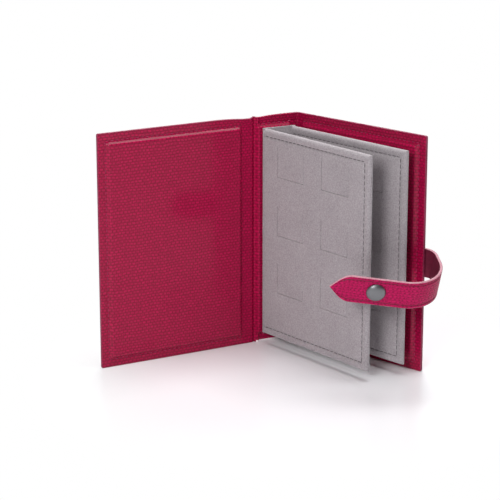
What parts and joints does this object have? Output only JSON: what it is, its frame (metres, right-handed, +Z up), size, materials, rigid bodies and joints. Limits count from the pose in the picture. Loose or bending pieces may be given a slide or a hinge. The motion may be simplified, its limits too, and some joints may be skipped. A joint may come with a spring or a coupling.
{
  "type": "earring book",
  "caption": "Book-shaped leather case that stands open, with padded suede leaves, lift-up flaps for earrings and a snap strap round its free edges.",
  "frame": {"origin": "middle of the spine's lower edge, midway between the two fold lines", "axes": "+Z up along the spine, +X across the spine from the front cover to the back cover, +Y out of the spine's back, so that the leaves' free edges point to -Y"},
  "size_m": [0.1953, 0.1409, 0.16],
  "materials": {
    "case_leather": "glossy, embossed with reptile scales",
    "case_lining": "glossy, embossed with reptile scales",
    "board": "grey paperboard",
    "suede": "soft nap",
    "core": "felt",
    "metal": "satin gunmetal"
  },
  "bodies": {
    "spine": {"spine_leather": "case_leather", "spine_board": "board", "spine_lining": "case_lining", "front_fold_leather": "case_leather", "front_fold_lining": "case_lining", "back_fold_leather": "case_leather", "back_fold_lining": "case_lining", "page_gusset": "suede"},
    "front_cover": {"front_leather": "case_leather", "front_board": "board", "front_lining": "case_lining", "snap_stud": "metal", "stud_washer": "metal"},
    "back_cover": {"back_leather": "case_leather", "back_board": "board", "back_lining": "case_lining", "strap_anchor": "case_leather", "strap_root_bend": "case_leather"},
    "leaf_1_root": {"leaf_1_tape": "suede"},
    "leaf_1": {"leaf_1_core": "core", "leaf_1_front_suede": "suede", "leaf_1_back_suede": "suede"},
    "leaf_2_root": {"leaf_2_tape": "suede"},
    "leaf_2": {"leaf_2_core": "core", "leaf_2_front_suede": "suede", "leaf_2_back_suede": "suede"},
    "strap_loop": {"strap_loop": "case_leather"},
    "strap_tongue": {"strap_tongue": "case_leather", "snap_cap": "metal", "snap_socket": "metal"},
    "leaf_1_flap_1": {"leaf_1_flap_1": "suede"},
    "leaf_1_flap_2": {"leaf_1_flap_2": "suede"},
    "leaf_1_flap_3": {"leaf_1_flap_3": "suede"},
    "leaf_1_flap_4": {"leaf_1_flap_4": "suede"},
    "leaf_1_flap_5": {"leaf_1_flap_5": "suede"},
    "leaf_1_flap_6": {"leaf_1_flap_6": "suede"},
    "leaf_2_flap_1": {"leaf_2_flap_1": "suede"},
    "leaf_2_flap_2": {"leaf_2_flap_2": "suede"},
    "leaf_2_flap_3": {"leaf_2_flap_3": "suede"},
    "leaf_2_flap_4": {"leaf_2_flap_4": "suede"},
    "leaf_2_flap_5": {"leaf_2_flap_5": "suede"},
    "leaf_2_flap_6": {"leaf_2_flap_6": "suede"}
  },
  "joints": [
    {"name": "front_cover_fold", "type": "hinge", "parent": "spine", "child": "front_cover", "pos_m": [-0.0187, 0, 0], "axis": [0, 0, -1], "range_deg": [-86, 34], "deforming": ["front_fold_leather", "front_fold_lining"]},
    {"name": "back_cover_fold", "type": "hinge", "parent": "spine", "child": "back_cover", "pos_m": [0.0187, 0, 0], "axis": [0, 0, 1], "range_deg": [-22, 68], "deforming": ["back_fold_leather", "back_fold_lining"]},
    {"name": "leaf_1_lean", "type": "hinge", "parent": "spine", "child": "leaf_1_root", "pos_m": [-0.0063, -0.0051, 0], "axis": [0, 0, 1], "range_deg": [-14.5, 44.83]},
    {"name": "leaf_1_turn", "type": "hinge", "parent": "leaf_1_root", "child": "leaf_1", "pos_m": [-0.00979, -0.006, 0], "axis": [0, 0, -1], "range_deg": [0, 90]},
    {"name": "leaf_1_flap_1_lift", "type": "hinge", "parent": "leaf_1", "child": "leaf_1_flap_1", "pos_m": [-0.00248, -0.03303, 0.059], "axis": [-0.2504, 0.9681, 0], "range_deg": [0, 35]},
    {"name": "leaf_1_flap_2_lift", "type": "hinge", "parent": "leaf_1", "child": "leaf_1_flap_2", "pos_m": [0.00858, -0.07583, 0.059], "axis": [-0.2504, 0.9681, 0], "range_deg": [0, 35]},
    {"name": "leaf_1_flap_3_lift", "type": "hinge", "parent": "leaf_1", "child": "leaf_1_flap_3", "pos_m": [-0.00248, -0.03303, 0.0995], "axis": [-0.2504, 0.9681, 0], "range_deg": [0, 35]},
    {"name": "leaf_1_flap_4_lift", "type": "hinge", "parent": "leaf_1", "child": "leaf_1_flap_4", "pos_m": [0.00858, -0.07583, 0.0995], "axis": [-0.2504, 0.9681, 0], "range_deg": [0, 35]},
    {"name": "leaf_1_flap_5_lift", "type": "hinge", "parent": "leaf_1", "child": "leaf_1_flap_5", "pos_m": [-0.00248, -0.03303, 0.14], "axis": [-0.2504, 0.9681, 0], "range_deg": [0, 35]},
    {"name": "leaf_1_flap_6_lift", "type": "hinge", "parent": "leaf_1", "child": "leaf_1_flap_6", "pos_m": [0.00858, -0.07583, 0.14], "axis": [-0.2504, 0.9681, 0], "range_deg": [0, 35]},
    {"name": "leaf_2_lean", "type": "hinge", "parent": "spine", "child": "leaf_2_root", "pos_m": [0.0139, -0.0051, 0], "axis": [0, 0, 1], "range_deg": [-18.5, 57.19]},
    {"name": "leaf_2_turn", "type": "hinge", "parent": "leaf_2_root", "child": "leaf_2", "pos_m": [0.01049, -0.00624, 0], "axis": [0, 0, -1], "range_deg": [0, 54]},
    {"name": "leaf_2_flap_1_lift", "type": "hinge", "parent": "leaf_2", "child": "leaf_2_flap_1", "pos_m": [0.01965, -0.0327, 0.059], "axis": [-0.3173, 0.9483, 0], "range_deg": [0, 35]},
    {"name": "leaf_2_flap_2_lift", "type": "hinge", "parent": "leaf_2", "child": "leaf_2_flap_2", "pos_m": [0.03368, -0.07462, 0.059], "axis": [-0.3173, 0.9483, 0], "range_deg": [0, 35]},
    {"name": "leaf_2_flap_3_lift", "type": "hinge", "parent": "leaf_2", "child": "leaf_2_flap_3", "pos_m": [0.01965, -0.0327, 0.0995], "axis": [-0.3173, 0.9483, 0], "range_deg": [0, 35]},
    {"name": "leaf_2_flap_4_lift", "type": "hinge", "parent": "leaf_2", "child": "leaf_2_flap_4", "pos_m": [0.03368, -0.07462, 0.0995], "axis": [-0.3173, 0.9483, 0], "range_deg": [0, 35]},
    {"name": "leaf_2_flap_5_lift", "type": "hinge", "parent": "leaf_2", "child": "leaf_2_flap_5", "pos_m": [0.01965, -0.0327, 0.14], "axis": [-0.3173, 0.9483, 0], "range_deg": [0, 35]},
    {"name": "leaf_2_flap_6_lift", "type": "hinge", "parent": "leaf_2", "child": "leaf_2_flap_6", "pos_m": [0.03368, -0.07462, 0.14], "axis": [-0.3173, 0.9483, 0], "range_deg": [0, 35]},
    {"name": "strap_swing", "type": "hinge", "parent": "back_cover", "child": "strap_loop", "pos_m": [0.06438, -0.10773, 0.0746], "axis": [0.549, -0.1343, 0.8249], "range_deg": [-33.04, 25], "deforming": ["strap_root_bend"]},
    {"name": "strap_fold", "type": "hinge", "parent": "strap_loop", "child": "strap_tongue", "pos_m": [0.02791, -0.13406, 0.06579], "axis": [0, -0.3173, 0.9483], "range_deg": [-16, 12.11]}
  ],
  "couplings": [
    {"joint": "leaf_1_lean", "follows": "back_cover_fold", "ratio": 0.65909},
    {"joint": "leaf_2_lean", "follows": "back_cover_fold", "ratio": 0.84091},
    {"joint": "leaf_2_turn", "follows": "leaf_1_turn", "ratio": 0.6}
  ]
}
